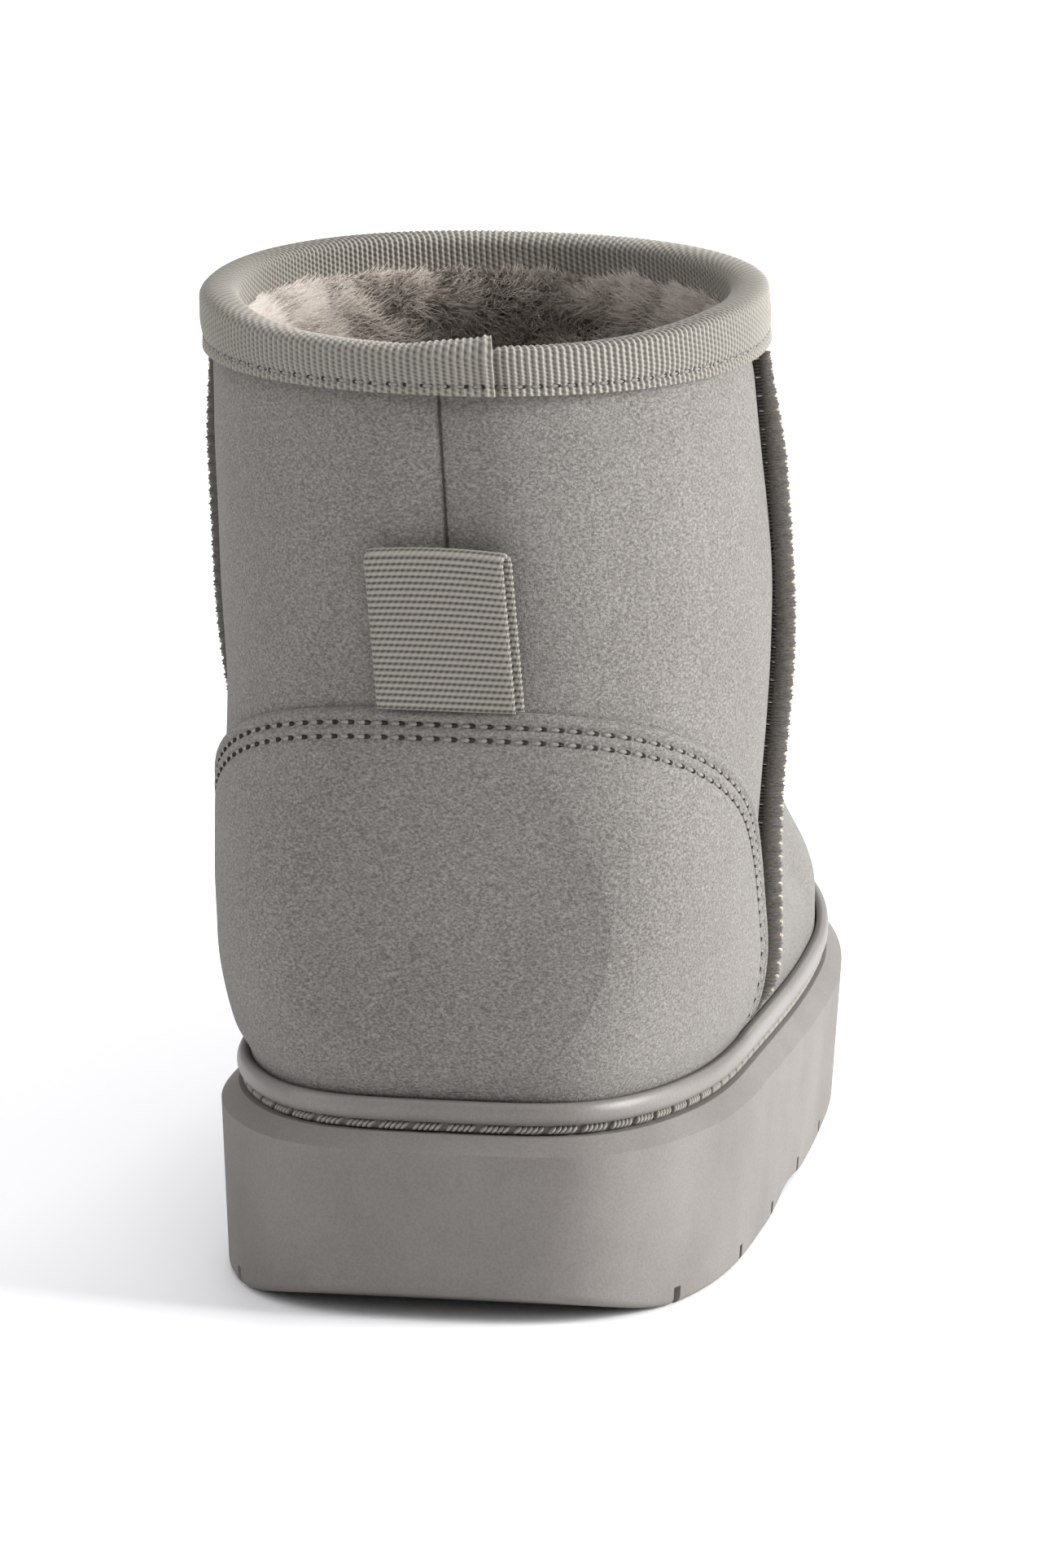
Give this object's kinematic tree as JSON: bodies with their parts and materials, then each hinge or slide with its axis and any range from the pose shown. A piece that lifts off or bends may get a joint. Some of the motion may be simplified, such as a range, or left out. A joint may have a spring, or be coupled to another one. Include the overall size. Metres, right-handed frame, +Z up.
{
  "type": "sheepskin boot",
  "caption": "Ankle-high sheepskin-style boot with a hollow suede upper, heel counter, raised side seams, tape-bound collar and pull loop on a thick platform sole.",
  "frame": {"origin": "on the floor, under the middle of the boot's box", "axes": "+Z up, +Y from heel to toe, +X towards the outer side of the right foot"},
  "size_m": [0.109, 0.2758, 0.1804],
  "materials": {
    "suede": "matte grey suede with a fine short nap",
    "seam_edge": "dark grey oversewn cut edges",
    "sole_rubber": "matte moulded foam rubber",
    "bead_rubber": "satin moulded rubber bead",
    "webbing": "ribbed grosgrain tape",
    "plush": "short plush pile"
  },
  "bodies": {
    "root": {"outsole": "sole_rubber", "welt": "bead_rubber", "insole": "plush", "upper": "suede", "heel_counter": "suede", "side_seam_outer": "seam_edge", "side_seam_inner": "seam_edge", "collar_binding": "webbing", "pull_loop": "webbing"}
  },
  "joints": []
}
